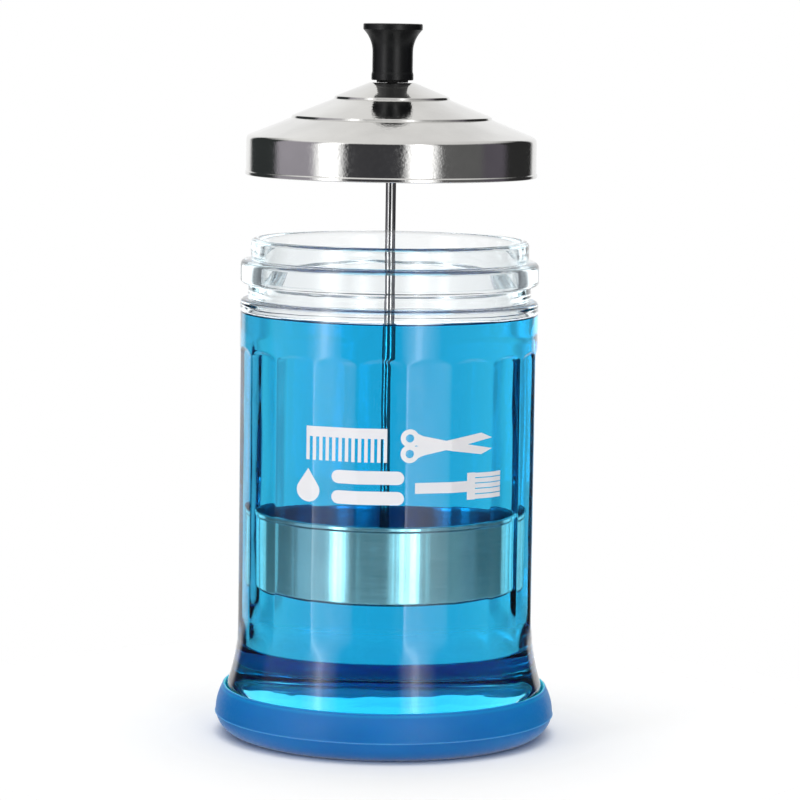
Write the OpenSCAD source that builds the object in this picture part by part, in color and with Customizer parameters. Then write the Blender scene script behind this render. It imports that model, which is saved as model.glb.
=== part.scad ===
// Disinfectant jar: a panelled glass jar in a soft boot, with a steel lid that carries a
// lift rod and a basket. The lid is drawn raised above the neck. +Z is up, z = 0 is the
// table that the boot stands on, and -Y is the front, where the marking is.

/* [Glass jar] */
// Height of the glass, from its bearing ring to the rim
jar_h = 188; // [150:1:240]
// Radius of the round body, over the edges between the panels
body_r = 57; // [47:0.5:70]
// Thickness of the body wall
body_wall = 4.5; // [3:0.1:6]
// Thickness of the glass floor over the bearing ring
base_t = 6.5; // [5:0.5:18]
// Depth of the hollow under the glass floor
punt_depth = 1.5; // [0.5:0.5:2]
// Width of the bearing ring under the glass
bearing_w = 6; // [3:0.5:8]
// Height above the table where the foot starts to flare
flare_top = 36; // [32:0.5:44]
// Radius of the upper neck, which the lid's skirt slides over
neck_r = 53.2; // [44:0.2:66]
// Thickness of the neck wall
neck_wall = 4; // [3:0.1:5]
// Height of the upper neck, from the bead to the rim
upper_neck_h = 8.1; // [6:0.1:14]
// Height of the bead that the closed lid rests on
bead_h = 8.8; // [6:0.1:12]
// How far the bead stands out from the upper neck
bead_out = 3.9; // [3:0.1:6]
// Height of the neck below the bead
lower_neck_h = 6.1; // [4:0.1:10]
// How far the lower neck stands out from the upper neck
lower_neck_out = 0.9; // [0.2:0.1:2]

/* [Glass panels] */
// Number of flat panels round the body
panel_count = 20; // [12:1:24]
// Depth of each panel at its middle
panel_depth = 0.65; // [0.3:0.05:0.9]
// Height of the plain band between the panels and the neck
plain_band = 17.5; // [12:0.5:30]
// Rise of the arch at both ends of a panel
panel_arch = 3; // [1:0.5:5]
// Turn of the first panel from the front, in degrees
panel_turn = -2; // [-9:0.5:9]

/* [Boot] */
// Height of the soft boot
boot_h = 18.9; // [15:0.1:24]
// Thickness of the boot's side
boot_wall = 2.8; // [2:0.1:5]
// Thickness of the boot under the glass
boot_floor = 3; // [2:0.5:5]
// Radius of the opening in the boot's floor
boot_hole_r = 41; // [30:1:43]

/* [Lid] */
// Clearance between the lid's skirt and the neck
lid_fit = 1.4; // [0.4:0.1:2]
// Thickness of the lid's sheet
lid_t = 0.8; // [0.5:0.1:1.2]
// Height of the skirt, from its hem to the top of the shoulder
skirt_h = 16; // [13:0.2:22]
// Radius of the shoulder between the lowest cone and the skirt
shoulder_r = 2.2; // [1.4:0.1:4]
// Slope of the three cones, in degrees
lid_slope = 22; // [15:0.5:28]
// Radius of the upper step
step_1_r = 21.8; // [18:0.2:26]
// Radius of the lower step
step_2_r = 38; // [32:0.2:40]
// Drop at each step
step_drop = 1; // [0.5:0.1:1.5]
// Radius of the flat under the knob
lid_flat_r = 8.6; // [8:0.1:10]
// Height of the raised lid above its closed place
lift_rest = 32.4; // [0.5:0.1:100]

/* [Knob] */
// Height of the knob
knob_h = 21.4; // [16:0.2:28]
// Radius of the knob's top flange
flange_r = 11.3; // [9:0.1:12.4]
// Height of the flange's straight edge
flange_h = 2.2; // [1.5:0.1:4]
// Radius of the grip
grip_r = 7.7; // [6:0.1:8]
// Radius of the hollow between the flange and the grip
grip_hollow_r = 12; // [6:0.5:16]
// Radius of the threaded insert
insert_r = 3.2; // [2.8:0.1:4]
// Length of the threaded insert
insert_h = 11; // [8:0.5:13]

/* [Rod and fasteners] */
// Radius of the rod
rod_r = 2; // [1.5:0.05:2.5]
// Width of the nuts across their flats
nut_w = 7; // [6:0.1:8]
// Height of a nut
nut_h = 3.2; // [2.5:0.1:4]
// Radius of the flat washers
washer_r = 6; // [4.5:0.1:7]
// Radius of the spring washer
spring_washer_r = 3.6; // [3.2:0.1:4.2]
// Thickness of every washer
washer_t = 0.8; // [0.5:0.1:1.2]

/* [Basket] */
// Radius of the basket's band
basket_r = 39.5; // [32:0.5:47]
// Height of the basket
basket_h = 30; // [20:0.5:40]
// Thickness of the basket's sheet
basket_t = 0.8; // [0.5:0.1:1.2]
// Radius of the rolled top edge
roll_r = 0.9; // [0.7:0.1:1.3]
// Width of the flange that carries the basket's floor
basket_flange = 3; // [2:0.5:4]
// Height of the closed basket above the glass floor
basket_gap = 14.1; // [8:0.1:25]
// Radius of the drain holes
drain_r = 2.4; // [1.5:0.1:2.8]
// Spacing of the drain holes
drain_pitch = 9; // [8:0.5:12]

/* [Marking] */
// Height of the marking's lower edge above the table
mark_z = 96.2; // [60:0.5:110]
// Height of one row of marks
mark_h = 12.6; // [9:0.2:14]
// Space between the two rows
mark_gap = 3.2; // [1:0.2:5]
// Distance of the marking's middle from the jar's middle
mark_x = 4.6; // [-10:0.2:10]
// Thickness of the ink
ink_t = 0.15; // [0.1:0.05:0.3]

/* [Hidden] */
// Radial clearance of the rod in the lid, and the lid's play between its washers
rod_fit = 0.08;
lid_play = 0.1;
// Radial clearance of pieces that are screwed or pressed together
seat_fit = 0.03;
// Clearance between the glass and the boot's side
boot_fit = 0.15;
// Flare of the glass foot: its slope from upright at both ends, and its radius
flare_start = 7;
flare_end = 20;
flare_r = 88;
// How much wider an arch is than its flat panel
arch_spread = 1.2;
// Height of the panels' lower ends above the flare
panel_lift = 0.5;
// Corner radii of the glass
rim_round = 1.8;
bead_round = 2.3;
shoulder_round = 2.3;
cavity_round = 9;
// Sideways run of the slope from the bearing ring to the hollow inside it
punt_run = 3;
// Boot: radii of its lower bulge and its side, its mould seam and the height of its lip
bulge_r = 9.5;
boot_side_r = 20;
seam_z = 7.9;
seam_out = 0.25;
lip_h = 0.9;
// Sideways run of a step in the lid
step_run = 0.9;
// Knob: rounding of its top edge, and the spread and height of its foot
knob_round = 0.5;
knob_foot_out = 0.3;
knob_foot_h = 3;
// Radii of the first ring of drain holes and of the basket's lower edge
drain_ring_r = 13;
basket_round = 1.2;
// Chamfer at the rod's ends
rod_chamfer = 0.6;
// How far a cutting shape runs past what it cuts
past = 1;
$fn = 96;

// Heights and radii of the glass
rim_z = boot_floor + jar_h;
bead_top = rim_z - upper_neck_h;
bead_bottom = bead_top - bead_h;
neck_bottom = bead_bottom - lower_neck_h;
panel_top = neck_bottom - plain_band;
glass_floor_z = boot_floor + base_t;
cavity_r = body_r - body_wall;
mouth_r = neck_r - neck_wall;
panel_r = body_r - panel_depth;
// Centre of the flare's curve, and the heel that runs on from it
flare_c = [body_r + flare_r * cos(flare_start), flare_top + flare_r * sin(flare_start)];
heel_r = (flare_c.y - flare_r * sin(flare_end) - boot_floor) / (1 + sin(flare_end));
heel_c = flare_c - (flare_r + heel_r) * [cos(flare_end), sin(flare_end)];

// Lid, from its hem up
skirt_r = neck_r + lid_fit + lid_t;
hem_z = bead_top + lift_rest;
shoulder_c = [skirt_r - shoulder_r, hem_z + skirt_h - shoulder_r];
cone_end = shoulder_c + shoulder_r * [sin(lid_slope), cos(lid_slope)];
cone_run = cone_end.x - lid_flat_r - 2 * step_run;
lid_top = cone_end.y + cone_run * tan(lid_slope) + 2 * step_drop;

// What is stacked on the rod, from the knob down
knob_z = lid_top + lid_play + washer_t;
lid_washer_z = lid_top - lid_t - lid_play - washer_t;
spring_washer_z = lid_washer_z - washer_t;
lid_nut_z = spring_washer_z - nut_h;
basket_z = glass_floor_z + basket_gap + lift_rest;
basket_in = basket_r - basket_t;
basket_floor_z = basket_z + basket_t;
basket_washer_z = basket_floor_z + basket_t;
basket_nut_z = basket_washer_z + washer_t;
lower_washer_z = basket_floor_z - washer_t;
rod_low = lower_washer_z - nut_h;
rod_high = knob_z + insert_h - past;

// ---- Shared shapes ----

// Points on an arc about c, from angle a to angle b
function arc(c, r, a, b, n = 8) =
    [for (i = [0:n]) let (t = a + (b - a) * i / n) c + r * [cos(t), sin(t)]];

// A path without its first point, and a path from its far end
function tail(path) = [for (i = [1:len(path) - 1]) path[i]];
function reversed(path) = [for (i = [len(path) - 1:-1:0]) path[i]];

// The left-hand normal of the line from p to q
function normal(p, q) = let (d = (q - p) / norm(q - p)) [-d.y, d.x];

// A path moved sideways by d, to its left where d is positive
function beside(path, d) = let (last = len(path) - 1)
    [for (i = [0:last])
        let (a = normal(path[i == 0 ? 0 : i - 1], path[i == 0 ? 1 : i]),
             b = normal(path[i == last ? i - 1 : i], path[i == last ? i : i + 1]))
        path[i] + d * (a + b) / (1 + a * b)];

module washer(outer, z) {
    translate([0, 0, z]) difference() {
        cylinder(r = outer, h = washer_t);
        translate([0, 0, -past]) cylinder(r = rod_r + seat_fit, h = washer_t + 2 * past);
    }
}

module hexagon(z) {
    translate([0, 0, z]) cylinder(d = nut_w / cos(30), h = nut_h, $fn = 6);
}

module hex_nut(z) {
    difference() {
        hexagon(z);
        translate([0, 0, z - past]) cylinder(r = rod_r + seat_fit, h = nut_h + 2 * past);
    }
}

// ---- Glass jar ----

// The outside of the glass foot, from the bearing ring up to where its slope from
// upright is a, moved outwards by g
function foot_outline(g, a) = concat(
    arc(heel_c + [g, 0], heel_r, -90, flare_end, 14),
    tail(arc(flare_c + [g, 0], flare_r, 180 + flare_end, 180 + a)));

// The tool that cuts one flat panel, with an arch at each end. The arch is a little wider
// than the flat, so that its curve crosses the flat's edges cleanly.
module panel_cutter() {
    half = arch_spread * sqrt(body_r * body_r - panel_r * panel_r);
    arch_r = (half * half + panel_arch * panel_arch) / (2 * panel_arch);
    reach = asin(half / arch_r);
    low = flare_top + panel_lift + arch_r;
    high = panel_top - arch_r;
    translate([panel_r, 0, 0]) rotate([90, 0, 90]) linear_extrude(panel_depth + past)
        polygon(concat(arc([0, high], arch_r, 90 - reach, 90 + reach, 7),
            arc([0, low], arch_r, 270 - reach, 270 + reach, 7)));
}

module glass_jar() {
    under = [[0, boot_floor + punt_depth],
        [heel_c.x - bearing_w - punt_run, boot_floor + punt_depth],
        [heel_c.x - bearing_w, boot_floor]];
    bead_x = neck_r + bead_out - bead_round;
    outside = concat(
        arc([body_r, neck_bottom] - shoulder_round * [1, 1], shoulder_round, 0, 90),
        [[neck_r + lower_neck_out, neck_bottom], [neck_r + lower_neck_out, bead_bottom]],
        arc([bead_x, bead_bottom + bead_round], bead_round, -90, 0),
        arc([bead_x, bead_top - bead_round], bead_round, 0, 90),
        [[neck_r, bead_top]],
        arc([neck_r, rim_z] - rim_round * [1, 1], rim_round, 0, 90));
    inside = concat(
        arc([mouth_r + rim_round, rim_z - rim_round], rim_round, 90, 180),
        [[mouth_r, bead_bottom], [cavity_r, neck_bottom - neck_wall]],
        arc([cavity_r - cavity_round, glass_floor_z + cavity_round], cavity_round, 0, -90),
        [[0, glass_floor_z]]);
    color([0.75, 0.9, 0.95, 0.4]) difference() {
        rotate_extrude()
            polygon(concat(under, foot_outline(0, flare_start), outside, inside));
        for (i = [0:panel_count - 1])
            rotate([0, 0, i * 360 / panel_count - 90 + panel_turn]) panel_cutter();
    }
}

// ---- Boot ----

module base_boot() {
    outer = heel_c.x + heel_r + boot_fit + boot_wall;
    bulge_end = asin(seam_z / bulge_r - 1);
    side_c = [outer - boot_side_r, seam_z + 2 * seam_out];
    lip_z = boot_h - lip_h;
    lip_out = side_c.x + sqrt(pow(boot_side_r, 2) - pow(lip_z - side_c.y, 2));
    lip_slope = asin((flare_c.y - lip_z) / flare_r);
    lip_in = flare_c.x + boot_fit - flare_r * cos(lip_slope);
    lip_half = (lip_out - lip_in) / 2;
    outside = concat(
        [[boot_hole_r, 0]],
        arc([outer - bulge_r, bulge_r], bulge_r, -90, bulge_end, 12),
        [[outer + seam_out, seam_z], [outer + seam_out, seam_z + seam_out]],
        arc(side_c, boot_side_r, 0, asin((lip_z - side_c.y) / boot_side_r)));
    lip = [for (p = tail(arc([0, 0], 1, 0, 180)))
        [lip_in + lip_half * (1 + p.x), lip_z + lip_h * p.y]];
    inside = tail(reversed(foot_outline(boot_fit, lip_slope)));
    color([0.13, 0.36, 0.78]) rotate_extrude()
        polygon(concat(outside, lip, inside, [[boot_hole_r, boot_floor]]));
}

// ---- Marking: two rows of salon-tool signs, printed on the panels ----

// A bar with round ends, w long and h high
module bar_mark(w, h) {
    polygon(concat(arc([w - h / 2, h / 2], h / 2, -90, 90), arc([h / 2, h / 2], h / 2, 90, 270)));
}

// A comb, teeth down
module comb_mark(w) {
    spine = 0.3 * mark_h;
    tooth = 1.25;
    count = floor(w / (2 * tooth));
    translate([0, mark_h - spine]) square([w, spine]);
    for (i = [0:count])
        translate([i * (w - tooth) / count, 0]) square([tooth, mark_h - spine / 2]);
}

// A pair of scissors, points to the right
module scissors_mark(w) {
    eye_r = mark_h * 0.27;
    eye_hole = eye_r * 0.45;
    for (up = [0, 1]) translate([0, up * mark_h]) mirror([0, up]) {
        difference() {
            translate([eye_r, eye_r]) circle(r = eye_r);
            translate([eye_r, eye_r]) circle(r = eye_hole);
        }
        polygon([[1.6 * eye_r, 0.4 * eye_r], [2.5 * eye_r, 0.8 * eye_r],
            [w, 0.66 * mark_h], [w - 4, 0.82 * mark_h], [1.4 * eye_r, 1.75 * eye_r]]);
    }
}

// A drop
module drop_mark() {
    drop_r = mark_h * 0.34;
    side = acos(drop_r / (mark_h - drop_r));
    polygon(concat([[drop_r, mark_h]],
        arc([drop_r, drop_r], drop_r, 90 + side, 450 - side, 24)));
}

// A brush, bristles to the right
module brush_mark(w) {
    head = 0.3 * w;
    stem = 0.32 * mark_h;
    bristles = 5;
    translate([0, (mark_h - stem) / 2]) square([w - head, stem]);
    translate([w - head - 3, 0.1 * mark_h]) square([3, 0.8 * mark_h]);
    for (i = [0:bristles - 1])
        translate([w - head - 0.1, mark_h * (0.1 + 0.8 * i / bristles) + 0.2])
            square([head, 0.8 * mark_h / bristles - 0.4]);
}

// The body between the panels' arches, grown by g
module panelled_body(g) {
    corner = (panel_r + g) / cos(180 / panel_count);
    intersection() {
        cylinder(r = body_r + g, h = panel_top);
        linear_extrude(height = panel_top)
            polygon([for (i = [0:panel_count - 1])
                let (t = (i + 0.5) * 360 / panel_count - 90 + panel_turn)
                corner * [cos(t), sin(t)]]);
    }
}

module front_marking() {
    upper = [-34.5, mark_h + mark_gap];
    lower = [-38, 0];
    color("white") intersection() {
        translate([mark_x, 0, mark_z]) rotate([90, 0, 0]) linear_extrude(height = body_r + past) {
            translate(upper) comb_mark(30);
            translate(upper + [35, 0]) scissors_mark(34);
            translate(lower) drop_mark();
            translate(lower + [13, 7.6]) bar_mark(27, 5);
            translate(lower + [13, 0]) bar_mark(27, 5);
            translate(lower + [44, 0]) brush_mark(32);
        }
        difference() {
            panelled_body(ink_t);
            panelled_body(0);
        }
    }
}

// ---- Lid ----

module lid_shell() {
    step_1_z = lid_top - (step_1_r - lid_flat_r) * tan(lid_slope);
    step_2_z = step_1_z - step_drop - (step_2_r - step_1_r - step_run) * tan(lid_slope);
    upper = concat(
        [[rod_r + rod_fit, lid_top], [lid_flat_r, lid_top],
         [step_1_r, step_1_z], [step_1_r + step_run, step_1_z - step_drop],
         [step_2_r, step_2_z], [step_2_r + step_run, step_2_z - step_drop]],
        arc(shoulder_c, shoulder_r, 90 - lid_slope, 0),
        [[skirt_r, hem_z]]);
    color([0.75, 0.74, 0.72]) rotate_extrude()
        polygon(concat(upper, reversed(beside(upper, -lid_t))));
}

// ---- Knob and what holds the lid ----

module knob() {
    top = knob_z + knob_h;
    hollow_x = grip_r + grip_hollow_r;
    hollow_end = acos((hollow_x - flange_r) / grip_hollow_r);
    hollow_z = top - flange_h - grip_hollow_r * sin(hollow_end);
    color([0.05, 0.05, 0.06]) difference() {
        rotate_extrude() polygon(concat(
            [[0, knob_z], [grip_r + knob_foot_out, knob_z], [grip_r, knob_z + knob_foot_h]],
            arc([hollow_x, hollow_z], grip_hollow_r, 180, 180 - hollow_end),
            arc([flange_r, top] - knob_round * [1, 1], knob_round, 0, 90),
            [[0, top]]));
        translate([0, 0, knob_z - past])
            cylinder(r = insert_r + seat_fit, h = insert_h + seat_fit + past);
    }
}

module knob_insert() {
    color([0.72, 0.58, 0.28]) translate([0, 0, knob_z]) difference() {
        cylinder(r = insert_r, h = insert_h);
        translate([0, 0, -past]) cylinder(r = rod_r + seat_fit, h = insert_h + 2 * past);
    }
}

module knob_washer() {
    color([0.06, 0.06, 0.06]) washer(washer_r, lid_top + lid_play);
}

module lid_washer() {
    color([0.7, 0.7, 0.7]) washer(washer_r, lid_washer_z);
}

// A ring with a slanted slit through it
module lid_spring_washer() {
    color([0.6, 0.6, 0.62]) difference() {
        washer(spring_washer_r, spring_washer_z);
        translate([0, spring_washer_r, spring_washer_z + washer_t / 2]) rotate([0, 30, 0])
            cube([0.5, 2 * spring_washer_r, 4 * washer_t], center = true);
    }
}

module lid_nut() {
    color([0.7, 0.7, 0.7]) hex_nut(lid_nut_z);
}

module lift_rod() {
    color([0.6, 0.6, 0.62]) rotate_extrude() polygon([
        [0, rod_low], [rod_r - rod_chamfer, rod_low], [rod_r, rod_low + rod_chamfer],
        [rod_r, rod_high - rod_chamfer], [rod_r - rod_chamfer, rod_high], [0, rod_high]]);
}

// ---- Basket ----

module basket_band() {
    top = basket_z + basket_h;
    flange_in = basket_in - basket_flange;
    color([0.72, 0.72, 0.7]) rotate_extrude() {
        polygon(concat(
            [[flange_in, basket_z]],
            arc([basket_r, basket_z] + basket_round * [-1, 1], basket_round, -90, 0),
            [[basket_r, top - roll_r], [basket_in, top - roll_r],
             [basket_in, basket_floor_z], [flange_in, basket_floor_z]]));
        translate([basket_r, top - roll_r]) circle(r = roll_r);
    }
}

module basket_floor() {
    rings = floor((basket_in - basket_flange - drain_r - drain_ring_r) / drain_pitch);
    color([0.7, 0.7, 0.68]) difference() {
        translate([0, 0, basket_floor_z]) cylinder(r = basket_in - seat_fit, h = basket_t);
        translate([0, 0, basket_floor_z - past]) {
            cylinder(r = rod_r + seat_fit, h = basket_t + 2 * past);
            for (ring = [0:rings]) {
                r = drain_ring_r + ring * drain_pitch;
                count = round(360 * r / (drain_pitch * 180 / PI));
                for (i = [1:count]) rotate([0, 0, i * 360 / count]) translate([r, 0, 0])
                    cylinder(r = drain_r, h = basket_t + 2 * past, $fn = 32);
            }
        }
    }
}

module basket_nut() {
    color([0.7, 0.7, 0.7]) hex_nut(basket_nut_z);
}

module basket_upper_washer() {
    color([0.7, 0.7, 0.7]) washer(washer_r, basket_washer_z);
}

module basket_lower_washer() {
    color([0.7, 0.7, 0.7]) washer(washer_r, lower_washer_z);
}

module basket_lower_nut() {
    color([0.7, 0.7, 0.7]) hex_nut(rod_low);
}

glass_jar();
base_boot();
front_marking();
lid_shell();
knob();
knob_insert();
knob_washer();
lid_washer();
lid_spring_washer();
lid_nut();
lift_rod();
basket_band();
basket_floor();
basket_nut();
basket_upper_washer();
basket_lower_washer();
basket_lower_nut();
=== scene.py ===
"""Disinfectant jar: a panelled glass jar of blue liquid in a soft boot, with a steel lid on
a lift rod that carries a brushed basket. Metres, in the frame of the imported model: +Z up,
-Y the marked front. Sizes of the pieces are in millimetres until they become meshes."""

import math

import bpy
import numpy as np
from mathutils import Euler, Matrix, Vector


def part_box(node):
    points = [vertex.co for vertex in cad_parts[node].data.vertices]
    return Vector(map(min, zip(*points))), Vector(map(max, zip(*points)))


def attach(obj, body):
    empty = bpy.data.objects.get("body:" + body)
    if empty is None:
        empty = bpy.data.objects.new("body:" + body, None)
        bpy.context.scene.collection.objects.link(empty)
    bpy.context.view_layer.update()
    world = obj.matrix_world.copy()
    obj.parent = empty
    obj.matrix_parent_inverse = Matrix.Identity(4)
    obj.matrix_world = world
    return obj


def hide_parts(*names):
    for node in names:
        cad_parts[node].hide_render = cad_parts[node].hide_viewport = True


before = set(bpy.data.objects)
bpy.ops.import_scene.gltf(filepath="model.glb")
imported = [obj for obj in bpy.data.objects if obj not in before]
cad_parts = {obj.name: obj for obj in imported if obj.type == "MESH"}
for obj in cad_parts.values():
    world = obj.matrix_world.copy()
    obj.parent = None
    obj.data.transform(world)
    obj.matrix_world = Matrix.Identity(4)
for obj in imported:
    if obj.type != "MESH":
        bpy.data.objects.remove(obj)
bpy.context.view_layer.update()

MM = 0.001
TAU = 2 * math.pi


# ---- Camera ----

CAMERA_PLACE = (0.0046, -1.393, 0.283)
CAMERA_PITCH = 83.7
CAMERA_ROLL = 0.8
CAMERA_LENS = 164.1

camera_data = bpy.data.cameras.new("studio_camera")
camera_data.lens = CAMERA_LENS
camera_data.sensor_width = 36.0
camera_data.clip_start = 0.05
camera_data.clip_end = 50.0
camera = bpy.data.objects.new("studio_camera", camera_data)
bpy.context.scene.collection.objects.link(camera)
camera.matrix_world = (
    Matrix.Translation(CAMERA_PLACE)
    @ Matrix.Rotation(math.radians(CAMERA_PITCH), 4, "X")
    @ Matrix.Rotation(math.radians(CAMERA_ROLL), 4, "Z")
)
bpy.context.scene.camera = camera


# ---- Places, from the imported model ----

def heights(node):
    """Lowest and highest point of a CAD node, in millimetres"""
    low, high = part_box(node)
    return low.z / MM, high.z / MM


def reach(node):
    """Outer radius of a round CAD node, in millimetres"""
    low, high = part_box(node)
    return (high.x - low.x) / 2 / MM


GLASS_FOOT, RIM_Z = heights("glass_jar")
BOOT_TOP = heights("base_boot")[1]
HEM_Z, LID_TOP = heights("lid_shell")
KNOB_Z, KNOB_TOP = heights("knob")
ROD_LOW, ROD_HIGH = heights("lift_rod")
BAND_LOW, BAND_TOP = heights("basket_band")
FLOOR_LOW, FLOOR_TOP = heights("basket_floor")
INSERT_TOP = heights("knob_insert")[1]

# Glass: radii of the body and its wall, the neck and the mouth
BODY_R = 57.0
CAVITY_R = 52.5
LOWER_NECK_R = 54.1
NECK_R = 53.2
MOUTH_R = 49.2
BEAD_R = 57.1
# Glass: heights, from the rim down
BEAD_TOP = RIM_Z - 8.1
BEAD_LOW = BEAD_TOP - 8.8
NECK_LOW = BEAD_LOW - 6.1
WALL_TOP = NECK_LOW - 4.0
# Glass: the straight part of the cavity ends below the curve into the neck
WALL_FADE = 12.0
CAVITY_HIGH = WALL_TOP - WALL_FADE
# Glass: the base, the hollow under it and the round between the wall and the floor
GLASS_FLOOR = GLASS_FOOT + 6.5
PUNT_DEPTH = 1.5
CAVITY_ROUND = 9.0
# Glass: rings of points across its floor, which the liquid shares
FLOOR_RINGS = (38, 32, 26, 20, 14, 8, 3)
# Glass: the flare of the foot and its heel
FLARE_TOP = 36.0
FLARE_C = (144.34, 46.73)
FLARE_R = 88.0
HEEL_C = (52.11, 13.15)
HEEL_R = 10.15
FLARE_START, FLARE_END = 7.0, 20.0
# Glass: the flat panels
PANELS = 20
PANEL_TURN = -2.0
PANEL_R = 56.35
PANEL_LOW = FLARE_TOP + 0.5
PANEL_HIGH = NECK_LOW - 17.5
ARCH_RISE = 3.0
ARCH_HALF = 10.3
ARCH_SOFT = 1.6
LOWER_FADE = 10.0
RIDGE_SOFT = 0.2

# Liquid: its level, and how far it reaches into the glass so that no gap shows
LIQUID_Z = 162.0
WETTING = 0.05

# Boot: the height of its seam, and how far from the heel's centre its inside is painted a paler
# blue, as painted light
SEAM_Z = 7.9
PAINTED_LIGHT_R, PAINTED_LIGHT_END = 11.3, 11.8

ROD_R = 2.0
BASKET_R = 39.5
# Thickness of the lid's and the basket's steel
SHEET = 0.8

# How much each clear thing bends light
GLASS_IOR = 1.5
LIQUID_IOR = 1.33


# ---- Outlines: lists of (radius, height) points ----

def arc(centre, radius, start, end, steps=8):
    """Points along an arc, whose ends are angles in degrees"""
    angles = np.radians(np.linspace(start, end, steps + 1))
    return [(centre[0] + radius * math.cos(a), centre[1] + radius * math.sin(a)) for a in angles]


def rounded(corners, steps=6, closed=False):
    """An outline through (radius, height, fillet) corners, each turned on its own fillet"""
    count = len(corners)
    outline = []
    for i, (r, z, fillet) in enumerate(corners):
        here = np.array((r, z))
        if fillet == 0 or (not closed and i in (0, count - 1)):
            outline.append((r, z))
            continue
        before = np.array(corners[i - 1][:2]) - here
        after = np.array(corners[(i + 1) % count][:2]) - here
        room = (np.linalg.norm(before), np.linalg.norm(after))
        before, after = before / room[0], after / room[1]
        half = math.acos(np.clip(before @ after, -1, 1)) / 2
        if half > math.radians(89):
            outline.append((r, z))
            continue
        back = min(fillet / math.tan(half), 0.49 * min(room))
        radius = back * math.tan(half)
        between = before + after
        centre = here + between / np.linalg.norm(between) * radius / math.sin(half)
        first, last = here + before * back - centre, here + after * back - centre
        start = math.atan2(first[1], first[0])
        turn = (math.atan2(last[1], last[0]) - start + math.pi) % TAU - math.pi
        for k in range(steps + 1):
            a = start + turn * k / steps
            outline.append((centre[0] + radius * math.cos(a), centre[1] + radius * math.sin(a)))
    return outline


def rows_between(low, high, step):
    """Even heights from low to high, about a step apart"""
    count = max(1, round(abs(high - low) / step))
    return list(np.linspace(low, high, count + 1))


def beside(path, distance):
    """A path moved sideways, to its left where the distance is positive"""
    points = [np.array(p, float) for p in path]
    last = len(points) - 1

    def normal(p, q):
        d = (q - p) / np.linalg.norm(q - p)
        return np.array((-d[1], d[0]))

    moved = []
    for i, p in enumerate(points):
        a = normal(points[max(i - 1, 0)], points[max(i - 1, 0) + 1])
        b = normal(points[min(i, last - 1)], points[min(i, last - 1) + 1])
        moved.append(tuple(p + distance * (a + b) / (1 + a @ b)))
    return moved


# ---- Meshes ----

def link_mesh(name, points, faces, sharp=35.0):
    """A smooth-shaded object in metres from points in millimetres, its faces outward"""
    points = np.asarray(points, float) * MM
    mesh = bpy.data.meshes.new(name)
    mesh.from_pydata([tuple(p) for p in points], [], faces)
    volume = 0.0
    for face in faces:
        a = points[face[0]]
        for k in range(1, len(face) - 1):
            volume += a @ np.cross(points[face[k]], points[face[k + 1]])
    if volume < 0:
        mesh.flip_normals()
    mesh.shade_smooth()
    mesh.set_sharp_from_angle(angle=math.radians(sharp))
    made = bpy.data.objects.new(name, mesh)
    bpy.context.scene.collection.objects.link(made)
    return made


def even_columns(count):
    return np.arange(count) * TAU / count


def turned(name, outline, columns, closed=False, shape=None, sharp=35.0):
    """A solid of revolution. An open outline starts and ends on the axis, and a closed one
    is a ring. shape moves a row: (row number, r, z, angles) to its radii and heights."""
    points, rings = [], []
    for i, (r, z) in enumerate(outline):
        if r < 1e-6:
            rings.append([len(points)])
            points.append((0.0, 0.0, z))
            continue
        radii, levels = np.full(len(columns), r), np.full(len(columns), z)
        if shape is not None:
            radii, levels = shape(i, r, z, columns)
        rings.append(list(range(len(points), len(points) + len(columns))))
        points.extend(zip(radii * np.cos(columns), radii * np.sin(columns), levels))
    faces = []
    pairs = list(zip(rings, rings[1:]))
    if closed:
        pairs.append((rings[-1], rings[0]))
    count = len(columns)
    for lower, upper in pairs:
        if len(lower) == 1 and len(upper) == 1:
            continue
        for k in range(count):
            n = (k + 1) % count
            if len(lower) == 1:
                faces.append((lower[0], upper[n], upper[k]))
            elif len(upper) == 1:
                faces.append((lower[k], lower[n], upper[0]))
            else:
                faces.append((lower[k], lower[n], upper[n], upper[k]))
    return link_mesh(name, points, faces, sharp)


# ---- Node helpers ----

def node(tree, kind, inputs=None, **settings):
    """A node, with its settings, and its inputs set to values or wired to sockets"""
    made = tree.nodes.new(kind)
    for key, value in settings.items():
        setattr(made, key, value)
    for key, value in (inputs or {}).items():
        if isinstance(value, bpy.types.NodeSocket):
            tree.links.new(value, made.inputs[key])
        else:
            made.inputs[key].default_value = value
    return made


def maths(tree, operation, *values):
    return node(tree, "ShaderNodeMath", dict(enumerate(values)), operation=operation).outputs[0]


def start_material(name):
    """An empty material, its tree, its output and its Object coordinates"""
    material = bpy.data.materials.new(name)
    material.use_nodes = True
    tree = material.node_tree
    tree.nodes.clear()
    output = tree.nodes.new("ShaderNodeOutputMaterial")
    place = node(tree, "ShaderNodeTexCoord").outputs["Object"]
    return material, tree, output, place


def stretched(tree, place, scale, location=(0, 0, 0)):
    return node(
        tree, "ShaderNodeMapping", {"Vector": place, "Scale": scale, "Location": location}
    ).outputs[0]


def noise(tree, place, scale, detail=2.0, roughness=0.5, distortion=0.0):
    return node(
        tree,
        "ShaderNodeTexNoise",
        {
            "Vector": place,
            "Scale": scale,
            "Detail": detail,
            "Roughness": roughness,
            "Distortion": distortion,
        },
    ).outputs[0]


def spread(tree, value, low_in, high_in, low_out, high_out):
    return node(
        tree,
        "ShaderNodeMapRange",
        {0: value, 1: low_in, 2: high_in, 3: low_out, 4: high_out},
    ).outputs[0]


def vary(tree, pattern, low, high):
    """Stretches the usual span of a noise from low to high"""
    return spread(tree, pattern, 0.3, 0.7, low, high)


def both(tree, first, second):
    """1 where both conditions are 1"""
    return maths(tree, "MULTIPLY", first, second)


def hypotenuse(tree, across, along):
    """Length of a step with two parts at right angles"""
    squares = [both(tree, part, part) for part in (across, along)]
    return maths(tree, "SQRT", maths(tree, "ADD", *squares))


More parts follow.
